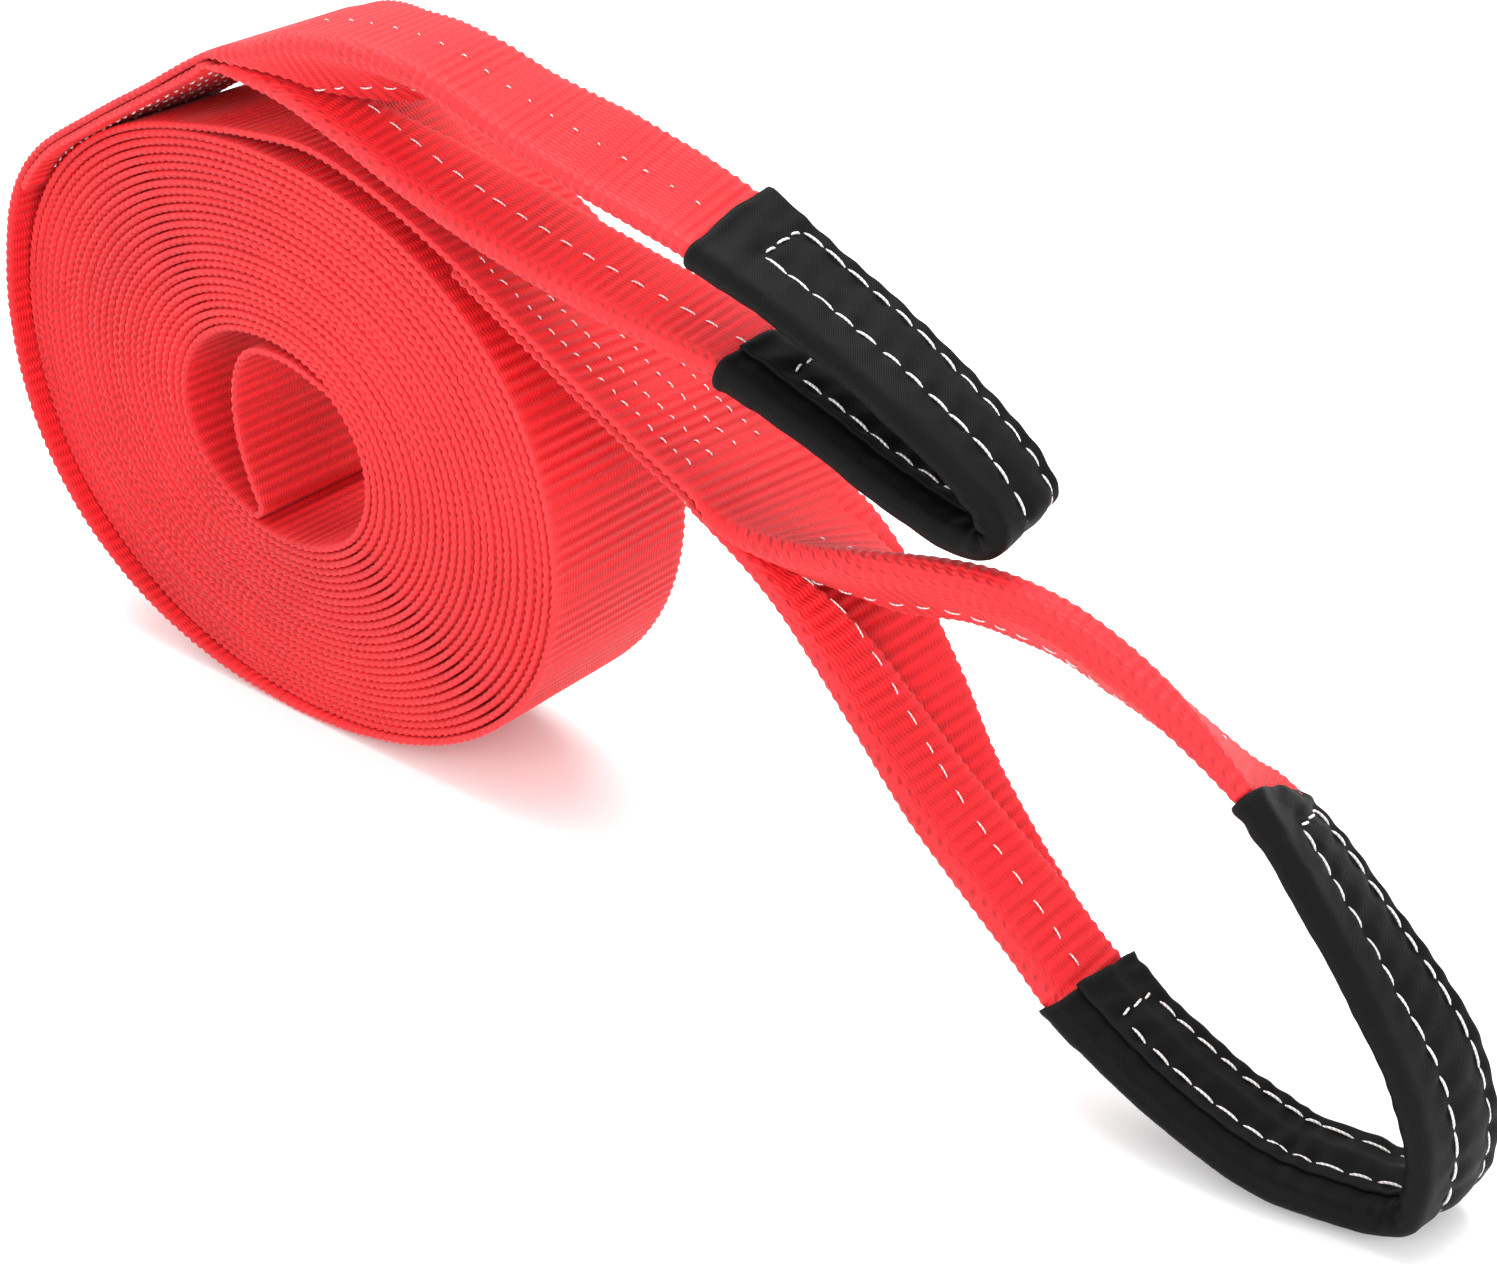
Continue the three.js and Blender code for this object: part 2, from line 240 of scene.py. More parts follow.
def makeWebbingMaterial(groups):
    material, tree, shader, lay, place = startMaterial("redWebbing")
    weave = groupNode(tree, groups["yarn"], Lay=lay)
    fine = weave.outputs["Height"]
    pebble = groupNode(tree, groups["pebble"], Lay=lay)
    shade = groupNode(tree, groups["fade"], Place=place)
    fold = addNode(tree, "ShaderNodeAttribute", attribute_name="foldLine").outputs["Fac"]
    edge = addNode(tree, "ShaderNodeAttribute", attribute_name="selvedge").outputs["Fac"]
    # The rib colour ramp paints shade into the valleys between the cross ribs and full red on their tops.
    ribShadedColour = rampNode(tree, weave.outputs["Rib"], [
        (0.0, redCloth["ribValleyShade"]),
        (0.42, tuple(0.75 * c for c in redCloth["ribTop"])),
        (1.0, redCloth["ribTop"]),
    ])
    plain = rampNode(tree, shade.outputs["Speckle"], [
        (0.3, tuple(0.8 * c for c in redCloth["ribTop"])),
        (0.7, redCloth["ribTop"]),
    ])
    ribShow = mathNode(tree, "MULTIPLY", mathNode(tree, "SUBTRACT", 1.0, fold), 0.55)
    colour = mixColour(tree, "MIX", ribShow, plain, ribShadedColour)
    # Painted shade: the gaps between the yarns and ribs are darkened, less so along the fold.
    gapShade = mathNode(tree, "MULTIPLY", weave.outputs["Gaps"], mathNode(tree, "SUBTRACT", 0.45, mathNode(tree, "MULTIPLY", fold, 0.45)))
    colour = mixColour(tree, "MIX", gapShade, colour, (*redCloth["recessShade"], 1.0))
    # Painted shade: the fold's pits are darkened as if shade fell into them; the same mask also dents the bump.
    pits = mathNode(tree, "MULTIPLY", pebble.outputs["Pits"], mathNode(tree, "MULTIPLY", fold, 0.95))
    colour = mixColour(tree, "MIX", pits, colour, (*redCloth["recessShade"], 1.0))
    # Painted highlight: the selvedges and the fold ridge are mixed towards paler pink, as if lit more strongly.
    edgeHighlightMask = mathNode(tree, "MULTIPLY", mathNode(tree, "MAXIMUM", edge, mathNode(tree, "MULTIPLY", fold, 0.6)), 0.28)
    colour = mixColour(tree, "MIX", edgeHighlightMask, colour, (*redCloth["edgeHighlight"], 1.0))
    patchy = rampNode(tree, shade.outputs["Patch"], [(0.3, (0.86, 0.84, 0.84)), (0.7, (1.08, 1.1, 1.1))])
    colour = mixColour(tree, "MULTIPLY", 1.0, colour, patchy)
    tree.links.new(colour, shader.inputs["Base Color"])
    rough = mathNode(tree, "MULTIPLY_ADD", shade.outputs["Speckle"], 0.25, redCloth["roughness"] - 0.12)
    tree.links.new(rough, shader.inputs["Roughness"])
    shader.inputs["Sheen Weight"].default_value = redCloth["sheen"]
    shader.inputs["Sheen Tint"].default_value = (*redCloth["sheenTint"], 1.0)
    shader.inputs["Sheen Roughness"].default_value = 0.4
    shader.inputs["Specular IOR Level"].default_value = 0.3
    height = mathNode(tree, "SUBTRACT", fine, mathNode(tree, "MULTIPLY", pits, 2.4))
    height = mathNode(tree, "ADD", height, mathNode(tree, "MULTIPLY", shade.outputs["Speckle"], 0.35))
    bump = addNode(tree, "ShaderNodeBump")
    bump.inputs["Strength"].default_value = redCloth["bump"]
    bump.inputs["Distance"].default_value = 0.00035
    tree.links.new(height, bump.inputs["Height"])
    tree.links.new(bump.outputs[0], shader.inputs["Normal"])
    return material


blackCloth = {
    "thread": (0.0042, 0.0040, 0.0042),
    # painted shade: the gaps between the sleeve's threads are darker
    "between": (0.0015, 0.0015, 0.0015),
    "rubbed": (0.018, 0.0175, 0.018),
    "roughness": 0.55,
    "weavePitch": 0.0007,
}


def makeSleeveMaterial(groups):
    material, tree, shader, lay, place = startMaterial("blackSleeveCloth")
    weave = groupNode(tree, groups["yarn"], Lay=lay)
    weave.inputs["Rib Pitch"].default_value = blackCloth["weavePitch"]
    weave.inputs["Yarn Pitch"].default_value = blackCloth["weavePitch"]
    weave.inputs["Slant"].default_value = 0.9
    shade = groupNode(tree, groups["fade"], Place=place)
    shade.inputs["Patch Size"].default_value = 40.0
    edge = addNode(tree, "ShaderNodeAttribute", attribute_name="selvedge").outputs["Fac"]
    # The weave ramp paints shade between the threads.
    colour = rampNode(tree, weave.outputs["Height"], [(0.25, blackCloth["between"]), (0.9, blackCloth["thread"])])
    rubbed = mathNode(tree, "MULTIPLY", edge, mathNode(tree, "MULTIPLY", shade.outputs["Patch"], 0.6))
    colour = mixColour(tree, "MIX", rubbed, colour, (*blackCloth["rubbed"], 1.0))
    tree.links.new(colour, shader.inputs["Base Color"])
    rough = mathNode(tree, "MULTIPLY_ADD", shade.outputs["Patch"], 0.3, blackCloth["roughness"] - 0.15)
    tree.links.new(rough, shader.inputs["Roughness"])
    shader.inputs["Sheen Weight"].default_value = 0.0
    shader.inputs["Specular IOR Level"].default_value = 0.08
    shader.inputs["Sheen Roughness"].default_value = 0.4
    bump = addNode(tree, "ShaderNodeBump")
    bump.inputs["Strength"].default_value = 0.35
    bump.inputs["Distance"].default_value = 0.00012
    height = mathNode(tree, "MULTIPLY_ADD", shade.outputs["Speckle"], 0.5, weave.outputs["Height"])
    tree.links.new(height, bump.inputs["Height"])
    tree.links.new(bump.outputs[0], shader.inputs["Normal"])
    return material


whiteThread = {
    "strand": (0.86, 0.84, 0.82),
    # painted shade: the grooves between the twisted strands are darker
    "groove": (0.50, 0.46, 0.45),
    "roughness": 0.55,
    "twistPitch": 0.0011,
}


def makeThreadMaterial(groups):
    material, tree, shader, lay, place = startMaterial("whiteThread")
    shade = groupNode(tree, groups["fade"], Place=place)
    twist = groupNode(tree, groups["yarn"], Lay=lay)
    twist.inputs["Rib Pitch"].default_value = whiteThread["twistPitch"]
    twist.inputs["Yarn Pitch"].default_value = 0.002
    twist.inputs["Slant"].default_value = 0.8
    # The twist ramp paints shade into the grooves between the strands.
    colour = rampNode(tree, twist.outputs["Rib"], [(0.0, whiteThread["groove"]), (0.5, whiteThread["strand"])])
    dulled = rampNode(tree, shade.outputs["Patch"], [(0.3, (0.88, 0.86, 0.85)), (0.7, (1.0, 1.0, 1.0))])
    colour = mixColour(tree, "MULTIPLY", 1.0, colour, dulled)
    tree.links.new(colour, shader.inputs["Base Color"])
    shader.inputs["Roughness"].default_value = whiteThread["roughness"]
    bump = addNode(tree, "ShaderNodeBump")
    bump.inputs["Strength"].default_value = 0.5
    bump.inputs["Distance"].default_value = 0.0002
    tree.links.new(twist.outputs["Rib"], bump.inputs["Height"])
    tree.links.new(bump.outputs[0], shader.inputs["Normal"])
    return material


# Mesh making

def makePiece(name, shell, material):
    points, sides, caps, lay, masks = shell
    mesh = bpy.data.meshes.new(name)
    faces = np.vstack([sides, caps]) if len(caps) else sides
    mesh.from_pydata((points * mm).tolist(), [], faces.tolist())
    layer = mesh.uv_layers.new(name="lay")
    corner = np.empty(len(mesh.loops), dtype=np.int32)
    mesh.loops.foreach_get("vertex_index", corner)
    layer.uv.foreach_set("vector", (lay[corner] * mm).astype(np.float32).ravel())
    for label, values in masks.items():
        attribute = mesh.attributes.new(label, "FLOAT", "POINT")
        attribute.data.foreach_set("value", values.astype(np.float32))
    smooth = np.ones(len(mesh.polygons), dtype=bool)
    smooth[len(sides):] = False
    mesh.polygons.foreach_set("use_smooth", smooth)
    mesh.materials.append(material)
    mesh.update()
    piece = bpy.data.objects.new(name, mesh)
    bpy.context.collection.objects.link(piece)
    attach(piece, "root")
    return piece


def gridFaces(rows, columns, closed=True):
    # Quads of a grid whose columns join up into rings
    first = np.arange(rows - 1)[:, None] * columns
    column = np.arange(columns if closed else columns - 1)[None, :]
    nextColumn = (column + 1) % columns
    quads = np.stack([
        first + column, first + nextColumn, first + columns + nextColumn, first + columns + column,
    ], axis=-1)
    return quads.reshape(-1, 4)


def endCaps(rows, columns):
    # Quad strips that close the first and last ring. A ring runs along one face and back along the other.
    half = columns // 2
    caps = []
    for k in range(half - 1):
        a, b, c, d = k, k + 1, columns - 2 - k, columns - 1 - k
        caps.append((d, c, b, a))
        base = (rows - 1) * columns
        caps.append((base + a, base + b, base + c, base + d))
    return np.array(caps)


def unit(vectors):
    return vectors / np.maximum(np.linalg.norm(vectors, axis=-1, keepdims=True), 1e-9)


def wave(place, scale, seed):
    # A slow, repeatable wander between about -1 and 1
    return (
        np.sin(place / scale + seed)
        + 0.6 * np.sin(place / scale * 2.3 + 2.1 * seed)
        + 0.3 * np.sin(place / scale * 5.1 + 3.7 * seed)
    ) / 1.9


def smoothStep(low, high, value):
    t = np.clip((value - low) / (high - low), 0.0, 1.0)
    return t * t * (3 - 2 * t)


# Routes

def curveThrough(points, perSpan=20):
    # A centripetal Catmull-Rom curve, with the place of each sample counted in stations
    points = np.array(points, dtype=float)
    padded = np.vstack([2 * points[0] - points[1], points, 2 * points[-1] - points[-2]])
    share = np.linspace(0, 1, perSpan, endpoint=False)[:, None]
    samples, stations = [], []
    for i in range(1, len(padded) - 2):
        p0, p1, p2, p3 = padded[i - 1:i + 3]
        gaps = [max(np.linalg.norm(b - a), 1e-6) ** 0.5 for a, b in ((p0, p1), (p1, p2), (p2, p3))]
        t0, t1 = 0.0, gaps[0]
        t2, t3 = t1 + gaps[1], t1 + gaps[1] + gaps[2]
        t = t1 + (t2 - t1) * share
        a1 = (t1 - t) / (t1 - t0) * p0 + (t - t0) / (t1 - t0) * p1
        a2 = (t2 - t) / (t2 - t1) * p1 + (t - t1) / (t2 - t1) * p2
        a3 = (t3 - t) / (t3 - t2) * p2 + (t - t2) / (t3 - t2) * p3
        b1 = (t2 - t) / (t2 - t0) * a1 + (t - t0) / (t2 - t0) * a2
        b2 = (t3 - t) / (t3 - t1) * a2 + (t - t1) / (t3 - t1) * a3
        samples.append((t2 - t) / (t2 - t1) * b1 + (t - t1) / (t2 - t1) * b2)
        stations.append(i - 1 + share[:, 0])
    samples.append(points[-1:])
    stations.append(np.array([len(points) - 1.0]))
    return np.vstack(samples), np.concatenate(stations)


def evenly(samples, step, others):
    # The same line with a sample every step, and the other values carried along
    lengths = np.concatenate([[0], np.cumsum(np.linalg.norm(np.diff(samples, axis=0), axis=1))])
    count = max(int(round(lengths[-1] / step)), 2)
    wanted = np.linspace(0, lengths[-1], count + 1)
    line = np.stack([np.interp(wanted, lengths, samples[:, k]) for k in range(3)], axis=1)
    return line, wanted, [np.interp(wanted, lengths, other) for other in others]


def smoothed(values, reach):
    window = np.hanning(2 * reach + 3)[1:-1]
    padded = np.concatenate([np.full(reach, values[0]), values, np.full(reach, values[-1])])
    return np.convolve(padded, window / window.sum(), mode="valid")


class Lay:
    # How a length of webbing lies: its near edge, its directions and how far it is folded, sample by sample
    def __init__(self, line, along, lean, folded, opened, bend, stations):
        self.line = line
        self.along = along
        self.stations = stations
        self.folded = smoothed(folded, 8)
        self.foldTurn = np.radians(180 - smoothed(opened, 8))
        tangent = unit(np.gradient(line, axis=0))
        across = np.zeros_like(line)
        across[:, 1] = 1.0
        across = unit(across - tangent * (across * tangent).sum(1, keepdims=True))
        outward = np.cross(tangent, across)
        lean = np.radians(smoothed(lean, 8))[:, None]
        self.tangent = tangent
        self.across = unit(across * np.cos(lean) + outward * np.sin(lean))
        self.lift = np.cross(tangent, self.across)
        self.bend = smoothed(bend, 8)
        self.flat = (webbing["width"] - self.bend) / 2
        self.flap = -self.bend + self.folded * (self.flat + self.bend)

    def at(self, index, across, height):
        # Points on the webbing: across from the near selvedge, height out of its middle
        turnAll = self.foldTurn[index]
        radius = self.bend[index] / turnAll
        start = self.flap[index] + self.bend[index]
        turn = np.clip((start - across) / radius, 0.0, turnAll)
        past = np.maximum(self.flap[index] - across, 0.0)
        side = np.maximum(across - start, 0.0) - radius * np.sin(turn) - past * np.cos(turn)
        lift = -radius * (1 - np.cos(turn)) - past * np.sin(turn)
        side = (side - height * np.sin(turn))[..., None]
        lift = (lift + height * np.cos(turn))[..., None]
        return self.line[index] + self.across[index] * side + self.lift[index] * lift

    def indexAt(self, station):
        return int(np.argmin(np.abs(self.stations - station)))


def webbingPlaces(lay, rows, count):
    # Where each ring has its points across, closer together at both selvedges and round the fold
    edge = np.array([0.0, 0.5, 1.3])
    width = webbing["width"]
    if count == 0:
        places = np.concatenate([edge[:2], width - edge[:2][::-1]])
        return np.broadcast_to(places, (len(rows), len(places)))
    fine = np.linspace(2.4, width - 2.4, 240)
    middle = (lay.flap + lay.bend / 2)[rows]
    weight = 1 + 3.2 * np.exp(-((fine[None, :] - middle[:, None]) / 3.0) ** 2)
    total = np.cumsum(weight, axis=1)
    total = (total - total[:, :1]) / (total[:, -1:] - total[:, :1])
    wanted = np.linspace(0, 1, count)
    inner = np.stack([np.interp(wanted, total[k], fine) for k in range(len(rows))])
    first = np.broadcast_to(edge, (len(rows), 3))
    return np.hstack([first, inner, width - first[:, ::-1]])


def webbingShell(lay, rows, count):
    # The points, faces and masks of a stretch of webbing with ribbed faces and knobbly selvedges
    width = webbing["width"]
    places = webbingPlaces(lay, rows, count)
    across = np.hstack([places, places[:, 1:-1][:, ::-1]])
    last = places.shape[1] - 1
    face = np.ones(across.shape[1])
    face[0] = face[last] = 0
    face[last + 1:] = -1
    near = np.minimum(across, width - across)
    outer = np.where(across > width / 2, 1.0, -1.0)
    body = smoothStep(0.7, 3.0, near)
    phase = (2 * math.pi * lay.along[rows] / webbing["ribPitch"])[:, None]
    uneven = 1 + 0.35 * wave(lay.along[rows], 4.1, 0.5)[:, None]
    knob = webbing["knob"] * uneven * (1 - body) * np.cos(phase - 1.2 * face)
    rib = 0.5 + 0.5 * np.cos(phase + webbing["ribWander"] * np.sin(across / 13.0 + phase / 40))
    round_ = np.clip(1 - near / 1.1, 0, 1) ** 2
    height = webbing["thickness"] / 2 - 0.38 * round_ - 0.1 * (1 - body)
    height = face * (height + webbing["ribHeight"] * body * (rib - 0.75) + 0.45 * knob)
    index = np.broadcast_to(rows[:, None], across.shape)
    points = lay.at(index, across + outer * knob, height)
    uv = np.stack([np.broadcast_to(lay.along[rows][:, None], across.shape), across + 60 * (face < 0)], axis=-1)
    foldMiddle = (lay.flap + lay.bend / 2)[rows][:, None]
    foldLine = np.clip(1.5 - np.abs(across - foldMiddle) / 3.6, 0, 1) * np.clip(lay.folded[rows] * 3, 0, 1)[:, None]
    edgeMask = np.clip(1.2 - near / 2.4, 0, 1)
    count = across.shape[1]
    sides = gridFaces(len(rows), count)
    return points.reshape(-1, 3), sides, endCaps(len(rows), count), uv.reshape(-1, 2), {
        "selvedge": edgeMask.ravel(),
        "foldLine": foldLine.ravel(),
    }


def joinShells(shells):
    # Several shells as one mesh
    offset, points, sides, caps, uv, masks = 0, [], [], [], [], {}
    for shell in shells:
        points.append(shell[0])
        sides.append(shell[1] + offset)
        caps.append(shell[2] + offset)
        uv.append(shell[3])
        for key, values in shell[4].items():
            masks.setdefault(key, []).append(values)
        offset += len(shell[0])
    return (
        np.vstack(points), np.vstack(sides), np.vstack(caps), np.vstack(uv),
        {key: np.concatenate(values) for key, values in masks.items()},
    )


def webbingPiece(name, node, material, stretches):
    shell = joinShells([webbingShell(lay, np.arange(first, last + 1), count) for lay, first, last, count in stretches])
    piece = makePiece(name, shell, material)
    if node:
        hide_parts(node)
    return piece


# The roll: both halves of the strap side by side, wound clockwise from the fold at its middle

def rollPlace(turn, layer):
    # turn runs clockwise from +X; layer is counted from the bore
    count = layer - 0.5
    loose = np.maximum(layer - roll["looseFrom"], 0) * roll["looseness"]
    where = np.exp(-((np.mod(turn - 0.5 + math.pi, 2 * math.pi) - math.pi) / 0.7) ** 2)
    halfWidth = roll["boreHalfWidth"] + count * roll["pitchAcross"] + loose * where * 0.3
    halfHeight = roll["boreHalfHeight"] + count * roll["pitchUp"] + loose * where * 0.2
    fuller = 1 + roll["shoulder"] * np.sin(2 * turn) ** 2 * (0.3 + 0.7 * count / 26)
    x = halfWidth * np.cos(turn) * fuller
    z = roll["centreHeight"] - halfHeight * np.sin(turn) * fuller
    return x, z


def nearEdge(turn, strand):
    # How far a turn's near edge stands out of the roll's near side, in the row frame
    last = smoothStep(24.15 * math.pi, 24.9 * math.pi, turn) * (6.0 if strand == "outer" else 0.0)
    seed = 2.3 if strand == "outer" else 1.3
    uneven = roll["uneven"] * wave(turn, 1.9, seed) + 0.35 * roll["uneven"] * wave(turn, 0.4, seed + 3)
    return -webbing["width"] / 2 - last + uneven * (1 - smoothStep(24.0 * math.pi, 24.6 * math.pi, turn))


strands = {
    "outer": {"firstTurn": -250.0, "lastTurn": 24.5 * 180, "layersAhead": 2.0},
    "inner": {"firstTurn": -46.0, "lastTurn": 25.38 * 180, "layersAhead": 1.0},
}


def spiralPoints(strand, turns):
    turns = np.radians(np.asarray(turns, dtype=float))
    layer = turns / math.pi + strands[strand]["layersAhead"]
    x, z = rollPlace(turns, layer)
    return np.stack([x, nearEdge(turns, strand), z], axis=-1)


# The fold at the strap's middle, from the outer strand's start to the inner strand's (x and z from the roll's middle)
middleFold = [
    (-10.6, -27.2), (-8.9, -25.3), (-9.3, -22.6), (-11.2, -18.5), (-13.4, -12.0), (-15.2, -4.0),
    (-15.5, 4.0), (-14.4, 12.0), (-12.0, 18.4), (-8.2, 23.4), (-3.0, 26.0), (4.5, 26.9), (12.0, 26.4), (18.5, 24.6),
]

# Stations of both ends: x, near edge, z, lean in degrees, how far folded, how far the fold gapes in degrees,
# and how much webbing its bend takes
tight = 3.85
upperSewn = [
    (-57, -31, 168.4, 0, 0, 0, tight), (-28, -31, 183.6, 0, 0, 0, tight), (-4, -30, 196.5, 0, 0, 0, tight),
]
upperLegs = [
    (12, -28, 202.5, 0, 0.25, 60, 5), (29, -26, 208, 0, 0.6, 62, 6), (50, -25, 210, 3, 0.9, 45, 6),
    (72, -25, 208.5, 8, 1, 26, 6), (95, -25, 201, 14, 1, 12, 5), (118, -25, 194.5, 23, 1, 4, tight),
    (140, -25, 190, 21, 1, 0, tight), (157, -25, 186.5, 14, 1, 0, tight), (182, -25, 179, 4, 1, 0, tight),
    (207, -25, 169, -1, 1, 0, tight), (228.5, -25, 158, -5, 1, 0, tight), (238, -25, 151, -8, 1, 0, tight),
    (242, -25, 145, -10, 1, 0, tight), (239, -25, 140.6, -8, 1, 0, tight),
    (231, -25, 139.2, -4, 1, 0, tight), (214.5, -25, 142.6, 0, 1, 0, tight),
    (191, -25, 150.5, 0, 1, 0, tight), (169, -25, 157, -3, 1, 0, tight), (148, -25, 160, -8, 1, 0, tight),
    (120, -25, 163.5, -12, 1, 0, 5), (89, -25, 169.5, -13, 1, 0, 5), (62, -25, 177, -10, 0.9, 0, 5),
    (40, -25, 184.5, -5, 0.65, 8, 4.5), (20, -27, 191.5, 0, 0.3, 14, tight),
]
lowerSewn = [
    (78, -25, 161.5, -2, 0, 0, tight), (92, -25, 154.5, -4, 0, 0, tight), (107, -25, 147, -5, 0, 0, tight),
    (124, -25, 138.5, -6, 0, 0, tight), (141, -25, 130.5, -6, 0, 0, tight),
    (155, -25, 124.8, -6, 0, 0, tight),
]
lowerLegs = [
    (168, -25, 121, -8, 0.2, 20, tight), (184, -24, 121.5, -18, 0.6, 20, 6),
    (204, -23, 126, -34, 0.95, 10, 9), (224, -21.5, 130.8, -42, 1, 0, 11),
    (240, -20.5, 132.8, -46, 1, 0, 12), (256, -20, 131.6, -46, 1, 0, 12), (270, -20, 127.5, -46, 1, 0, 12),
    (285, -20.5, 120.3, -42, 1, 0, 10), (304, -21.5, 106, -28, 1, 0, 4.5),
    (314.5, -19.5, 92.5, -18, 1, 0, tight), (325.5, -18, 77.5, -11, 1, 0, tight),
    (337, -17, 61, -3, 1, 0, tight), (346, -15, 44.5, 4, 1, 0, tight), (351, -14, 29, 8, 1, 0, tight),
    (351.8, -14, 16.5, 9, 1, 0, tight), (349.8, -14, 8.5, 8, 1, 0, tight),
    (343, -14.5, 4.8, 4, 1, 0, tight), (332.5, -16.5, 3.9, 1, 1, 0, tight),
    (320.5, -20, 4.8, 0, 1, 0, tight), (303, -23, 10.2, -1, 1, 0, tight), (283, -24.5, 19, -2, 1, 0, tight),
    (263, -24.6, 30, -4, 1, 0, tight), (253.5, -24.6, 38.2, -6, 0.96, 0, 4.5),
    (241.5, -24.8, 48.4, -8, 0.92, 0, 5), (223, -25, 64.3, -12, 0.82, 0, 5),
    (208.5, -24.8, 79.6, -16, 0.72, 0, 5), (194.5, -24.7, 94.4, -16, 0.62, 6, 5),
    (182.3, -24.7, 105.8, -8, 0.45, 10, 4.5), (169, -25, 115, 2, 0.22, 10, tight),
]


def sewnUnder(stations, first, last):
    # The sewn stretch one layer lower, run back from its far end, every few millimetres
    samples, places = curveThrough([s[:3] for s in stations])
    line, along, (places,) = evenly(samples, 6.0, [places])
    lean = np.interp(places, np.arange(len(stations)), [s[3] for s in stations])
    flat = np.zeros(len(line))
    lay = Lay(line, along, lean, flat, flat, flat + tight, places)
    chosen = [i for i in range(len(line)) if first <= places[i] <= last]
    down = webbing["thickness"] + 0.12
    return [(*(lay.line[i] - lay.lift[i] * down), -lean[i], 0, 0, tight) for i in chosen[::-1]]


def strandLay(strand, start, tail):
    # One half of the strap: from the middle fold, round the roll, to its cut end
    about = strands[strand]
    step = 2.5
    turns = np.arange(about["firstTurn"], about["lastTurn"], step)
    wound = spiralPoints(strand, turns)
    foldSamples, foldPlaces = curveThrough([*start, wound[0], wound[1]], 12)
    kept = foldPlaces < len(start)
    before = [tuple(p) + (0, 0, 0, tight) for p in spiralPoints(strand, [about["lastTurn"] - 8, about["lastTurn"]])]
    stations = before + tail
    tailSamples, tailPlaces = curveThrough([s[:3] for s in stations])
    after = tailPlaces >= 1
    samples = np.vstack([foldSamples[kept], wound, tailSamples[after]])
    before = kept.sum() + len(wound)
    places = np.concatenate([np.linspace(-2, -1, before), tailPlaces[after] - 1])
    values = [np.interp(tailPlaces[after], np.arange(len(stations)), [s[k] for s in stations]) for k in (3, 4, 5, 6)]
    values = [np.concatenate([np.full(before, v[0]), v]) for v in values]
    turnValues = np.concatenate([np.full(kept.sum(), turns[0] - 1), turns, np.full(after.sum(), turns[-1] + 1)])
    step = webbing["ribPitch"] / webbing["samplesPerRib"]
    line, along, (lean, folded, opened, bend, places, turnAt) = evenly(samples, step, [*values, places, turnValues])
    lay = Lay(line, along, lean, folded, opened, bend, places)
    lay.turnAt = turnAt
    return lay


def rollStation(strand, turn, more):
    # A station one layer or so further out than the roll's own spiral
    angle = math.radians(turn)
    x, z = rollPlace(np.array(angle), angle / math.pi + strands[strand]["layersAhead"] + more)
    return (float(x), float(nearEdge(np.array(angle), strand)), float(z), 0, 0, 0, tight)


def makeLays():
    onTurn = [rollStation("outer", 180 * turns, more) for turns, more in (
        (24.6, 0), (24.7, 0), (24.8, 0), (24.9, 0), (25.0, 0), (25.08, 0.12), (25.175, 1.0), (25.245, 1.15),
    )]
    upperMain = onTurn + upperSewn
    firstSewn = len(onTurn) - 1.9
    upperUnder = sewnUnder(upperMain, firstSewn, len(upperMain) - 1)
    upperTail = upperMain + upperLegs + upperUnder

    offRoll = [(x, -25, z, 0, 0, 0, tight) for x, z in ((-14, 174.2), (7, 177.0), (28, 178.0), (52, 172.2))]
    lowerMain = offRoll + lowerSewn
    lowerUnder = sewnUnder(lowerMain, len(offRoll) - 0.1, len(lowerMain) - 1)
    lowerTail = lowerMain + lowerLegs + lowerUnder

    fold = [(x, -webbing["width"] / 2, z + roll["centreHeight"]) for x, z in middleFold]
    middle = 6
    upper = strandLay("outer", fold[middle::-1], upperTail)
    lower = strandLay("inner", fold[middle:], lowerTail)
    upper.names = {
        "sewn": (firstSewn + 1, len(upperMain)),
        "legs": len(upperMain) + 1,
        "under": len(upperMain) + len(upperLegs) + 1,
    }
    lower.names = {
        "sewn": (len(offRoll) + 0.9, len(lowerMain)),
        "legs": len(lowerMain) + 1,
        "under": len(lowerMain) + len(lowerLegs) + 1,
    }
    return upper, lower


def turnIndex(lay, turns):
    return int(np.argmax(lay.turnAt >= turns * 180))


# Sleeves

sleeve = {
    "cloth": 0.8,
    "halfThickness": 2.9,      # to the middle of the cloth
    "ridgeEnd": 0.3,
    "farEnd": 25.0,
    "farRound": 1.3,
    "underFrom": 14.0,         # on the inner face, where the cloth starts under its own overlap
    "overTo": 5.0,
    "rows": (9.0, 21.0),
    "hem": 11.5,
    "pucker": 0.28,
    "ringStep": 1.1,
}


def sleeveOutline():
    # The cloth's middle line round the folded webbing: side, height, outward direction and extra layer, point by point
    h = sleeve["halfThickness"]
    a, b = sleeve["ridgeEnd"], sleeve["farEnd"]
    rows = []
    for s in np.linspace(sleeve["underFrom"], a, 12, endpoint=False):
        rows.append((s, -h, 0, -1, 0))
    for turn in np.linspace(-90, -270, 9, endpoint=False):
        c, d = math.cos(math.radians(turn)), math.sin(math.radians(turn))
        rows.append((a + h * c, h * d, c, d, 0))
    r = sleeve["farRound"]
    for s in np.linspace(a, b - r, 20, endpoint=False):
        rows.append((s, h, 0, 1, 0))
    for turn in np.linspace(90, -90, 11, endpoint=False):
        c, d = math.cos(math.radians(turn)), math.sin(math.radians(turn))
        rows.append((b - r + r * c, (h - r) * (1 if turn > 0 else -1 if turn < 0 else 0) + r * d, c, d, 0))
    for s in np.linspace(b - r, sleeve["overTo"], 17):
        over = float(smoothStep(sleeve["underFrom"] + 4, sleeve["underFrom"] + 0.5, np.array(s)))
        rows.append((s, -h, 0, -1, over * (sleeve["cloth"] + 0.1)))
    return np.array(rows)


